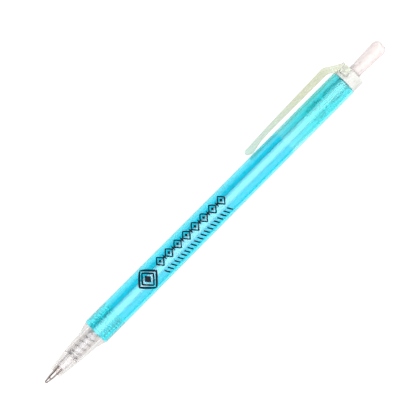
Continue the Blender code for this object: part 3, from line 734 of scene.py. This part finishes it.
def make_clip():
    outer = [(CHEEK_END, 4.35), (129.3, 4.42), (125.0, 7.2), (124.7, 7.36), (124.3, 7.47), (123.9, 7.51)]
    outer += [(104.0, 7.07), (96.0, 6.78), (91.8, 6.6)]
    ball = [(91.3, 4.55), (92.1, 4.32), (92.9, 4.5), (95.5, 5.05), (97.5, 5.25), (100.0, 5.35)]
    inner = smoothed(ball, 3)
    inner += [(123.0, 5.3), (124.0, 5.2), (124.8, 4.9), (125.6, 4.3), (126.2, 3.6), (CHEEK_END, 3.6)]
    outline = outer + arc(91.0, 5.7, 0.9, 100, 225, 12) + inner
    bm = bmesh.new()
    near = [bm.verts.new((x, y, -clip_half_width(x))) for x, y in outline]
    far = [bm.verts.new((x, y, clip_half_width(x))) for x, y in outline]
    sides = [bm.faces.new(near), bm.faces.new(far)]
    for i in range(len(outline)):
        j = (i + 1) % len(outline)
        bm.faces.new((near[i], near[j], far[j], far[i]))
    bmesh.ops.recalc_face_normals(bm, faces=bm.faces)
    rim = list({edge for face in sides for edge in face.edges})
    bmesh.ops.bevel(
        bm, geom=rim, offset=0.3, segments=4, profile=0.5, affect="EDGES", clamp_overlap=True,
    )
    step, saddle_start, saddle_end, saddle_radius = CHEEK_START - 0.1, 124.3, 132.1, 4.3
    saddle = turned([
        (saddle_start, 0), (saddle_start, saddle_radius), (step, saddle_radius),
        (step, CHEEK_INNER_RADIUS), (saddle_end, CHEEK_INNER_RADIUS), (saddle_end, 0),
    ], 128)
    bm = combined(bm, saddle, "DIFFERENCE")
    lug = block((128.2, 3.975, 0), (2.0, 1.25, 2.4))
    bm = combined(bm, lug, "UNION")
    finish_mesh("pocket_clip", bm, CLIP, "clip", ["clip"], 30)

    cheeks = sector(
        CHEEK_INNER_RADIUS, CHEEK_OUTER_RADIUS, CHEEK_START, CHEEK_END, 0, CHEEK_HALF_ANGLE, steps=48,
    )
    middle = block((128.5, 4, 0), (6, 3, 2 * CLIP_HALF_WIDTH + 0.02))
    finish_mesh("clip_cheeks", combined(cheeks, middle, "DIFFERENCE"), CHEEK, "clip")


def ribbon(points, widths, loop=False):
    """A flat closed strip on the barrel along a path of (x, offset) points, offset being millimetres along
    the surface from the side that faces the photo, away from the clip. It has a width for each point."""
    lift, thickness, column = 0.015, 0.02, 0.35
    count = len(points)
    columns = max(1, math.ceil(max(widths) / column))
    sides = [2 * k / columns - 1 for k in range(columns + 1)]
    outline = [(side, 0) for side in reversed(sides)] + [(side, 1) for side in sides]
    bm = bmesh.new()
    rows = []
    for i, (x, offset) in enumerate(points):
        if loop:
            before, after = points[i - 1], points[(i + 1) % count]
        else:
            before, after = points[max(i - 1, 0)], points[min(i + 1, count - 1)]
        along = Vector((after[0] - before[0], after[1] - before[1])).normalized()
        across = Vector((-along.y, along.x)) * widths[i] / 2
        row = []
        for side, layer in outline:
            px, ps = x + side * across.x, offset + side * across.y
            radius = barrel_radius(px) + lift + layer * thickness
            angle = ps / barrel_radius(px)
            row.append(bm.verts.new((px, -radius * math.sin(angle), radius * math.cos(angle))))
        rows.append(row)
    skin(bm, rows, loop)
    return bm


def line(start, end, steps=8):
    """Points of a straight stretch between two (x, offset) points."""
    return [tuple(a + (b - a) * i / steps for a, b in zip(start, end)) for i in range(steps + 1)]


def solid_diamond(x, offset, half_length, half_height):
    """A filled diamond about (x, offset)."""
    widths = [max(0.03, 2 * half_height * (1 - abs(i / 4 - 1))) for i in range(9)]
    return ribbon(line((x - half_length, offset), (x + half_length, offset)), widths)


def diamond(x, offset, half_length, half_height, width):
    """The outline of a diamond about (x, offset), drawn that wide."""
    corners = ((1, 0), (0, 1), (-1, 0), (0, -1))
    points = []
    for start, end in zip(corners, corners[1:] + corners[:1]):
        points += line(start, end)[:-1]
    points = [(x + half_length * a, offset + half_height * b) for a, b in points]
    return ribbon(points, [width] * len(points), loop=True)


def make_print():
    """A plain geometric imprint: nested diamonds, then a chain of diamonds over a hatched band."""
    emblem_x, emblem_offset = 43.5, -0.1
    emblem = [
        diamond(emblem_x, emblem_offset, 3.5, 4.0, 0.65),
        diamond(emblem_x, emblem_offset, 2.3, 2.65, 0.5),
        solid_diamond(emblem_x, emblem_offset, 1.2, 1.4),
    ]
    finish_mesh("imprint_emblem", joined(emblem), PRINT, "barrel")

    link_count, first_link, link_step, link_offset = 8, 49.8, 3.65, -1.3
    chain = []
    for i in range(link_count):
        x = first_link + link_step * i
        chain.append(diamond(x, link_offset, 1.4, 1.7, 0.42))
        chain.append(solid_diamond(x, link_offset, 0.5, 0.6))
        if i:
            chain.append(solid_diamond(x - link_step / 2, link_offset, 0.35, 1.1))
    finish_mesh("imprint_chain", joined(chain), PRINT, "barrel")

    stroke_count, first_stroke, stroke_step, stroke_width, slant = 20, 48.8, 1.38, 0.45, 0.9
    band_top, band_bottom = 1.6, 3.5
    strokes = []
    for i in range(stroke_count):
        x = first_stroke + stroke_step * i
        strokes.append(ribbon(line((x, band_top), (x + slant, band_bottom)), [stroke_width] * 9))
    finish_mesh("imprint_hatch", joined(strokes), PRINT, "barrel")


make_barrel()
make_nose()
make_return_spring()
make_refill()
make_rotor()
make_plunger()
make_end_cap()
make_clip()
make_print()


# ---------------------------------------------------------------- stage

FLOOR_HALF_SIZE = 1.5
FLOOR_DROP = 0.0002
FLOOR_SHADE = 0.17
FLOOR_GLOW = 0.95
SKY_MIDDLE = 0.14
SKY_ENDS = 0.8

ACROSS = math.radians(45.14)
TARGET = PEN @ (Vector((70.98, 1.52, 0)) * MM)
AXIS = Vector((1, 0, 0))
RIGHT = AXIS * math.cos(ACROSS) - CLIPWARD * math.sin(ACROSS)
UP = AXIS * math.sin(ACROSS) + CLIPWARD * math.cos(ACROSS)
CAMERA_DISTANCE = 1.2
FRAME_WIDTH = 0.1248
SENSOR = 36.0

# name, lean in degrees, distance, width, length, radiance
SOFTBOXES = (
    ("overhead", 5.5, 0.7, 1.03, 0.8, 2.5),
    ("overhead_core", 7.4, 0.68, 0.5, 0.8, 1.8),
    ("side", 67, 0.7, 0.59, 0.8, 1.3),
)


def make_floor():
    bm = bmesh.new()
    bmesh.ops.create_grid(bm, x_segments=2, y_segments=2, size=FLOOR_HALF_SIZE)
    mesh = bpy.data.meshes.new("floor")
    bm.to_mesh(mesh)
    bm.free()
    floor = bpy.data.objects.new("floor", mesh)
    floor.location = (0, 0, -FLOOR_DROP)
    bpy.context.collection.objects.link(floor)
    material = bpy.data.materials.new("floor_white")
    material.use_nodes = True
    shader = material.node_tree.nodes["Principled BSDF"]
    shader.inputs["Base Color"].default_value = (FLOOR_SHADE, FLOOR_SHADE, FLOOR_SHADE, 1)
    shader.inputs["Roughness"].default_value = 0.9
    shader.inputs["Specular IOR Level"].default_value = 0.0
    shader.inputs["Emission Color"].default_value = (1, 1, 1, 1)
    shader.inputs["Emission Strength"].default_value = FLOOR_GLOW
    mesh.materials.append(material)


def make_world():
    """A grey sky that is brighter beyond the two ends of the pen."""
    world = bpy.data.worlds.new("studio")
    world.use_nodes = True
    nodes, links = world.node_tree.nodes, world.node_tree.links
    background = nodes["Background"]
    where = nodes.new("ShaderNodeTexCoord")
    split = nodes.new("ShaderNodeSeparateXYZ")
    size = nodes.new("ShaderNodeMath")
    size.operation = "ABSOLUTE"
    ramp = nodes.new("ShaderNodeValToRGB")
    ramp.color_ramp.elements[0].position = 0.35
    ramp.color_ramp.elements[0].color = (SKY_MIDDLE, SKY_MIDDLE, SKY_MIDDLE, 1)
    ramp.color_ramp.elements[1].position = 0.7
    ramp.color_ramp.elements[1].color = (SKY_ENDS, SKY_ENDS, SKY_ENDS, 1)
    links.new(where.outputs["Generated"], split.inputs["Vector"])
    links.new(split.outputs["X"], size.inputs[0])
    links.new(size.outputs["Value"], ramp.inputs["Fac"])
    links.new(ramp.outputs["Color"], background.inputs["Color"])
    background.inputs["Strength"].default_value = 1.0
    bpy.context.scene.world = world


def add_softbox(name, lean, distance, width, length, radiance):
    """An area light whose long side follows the pen. It leans from straight above, about the pen's axis, by
    that many degrees, away from the clip where positive."""
    light = bpy.data.lights.new(name, "AREA")
    light.shape = "RECTANGLE"
    light.size, light.size_y = length, width
    light.energy = radiance * math.pi * length * width
    obj = bpy.data.objects.new(name, light)
    bpy.context.collection.objects.link(obj)
    angle = math.radians(lean)
    towards = OUT * math.cos(angle) - CLIPWARD * math.sin(angle)
    turn = Matrix((AXIS, towards.cross(AXIS), towards)).transposed().to_4x4()
    obj.matrix_world = Matrix.Translation(TARGET + towards * distance) @ turn


def make_camera():
    data = bpy.data.cameras.new("camera")
    data.sensor_width = SENSOR
    data.lens = SENSOR * CAMERA_DISTANCE / FRAME_WIDTH
    data.clip_end = 10
    camera = bpy.data.objects.new("camera", data)
    bpy.context.collection.objects.link(camera)
    turn = Matrix((RIGHT, UP, OUT)).transposed().to_4x4()
    camera.matrix_world = Matrix.Translation(TARGET + OUT * CAMERA_DISTANCE) @ turn
    bpy.context.scene.camera = camera


make_floor()
make_world()
make_camera()
for softbox in SOFTBOXES:
    add_softbox(*softbox)
bpy.context.scene.view_settings.view_transform = "Standard"
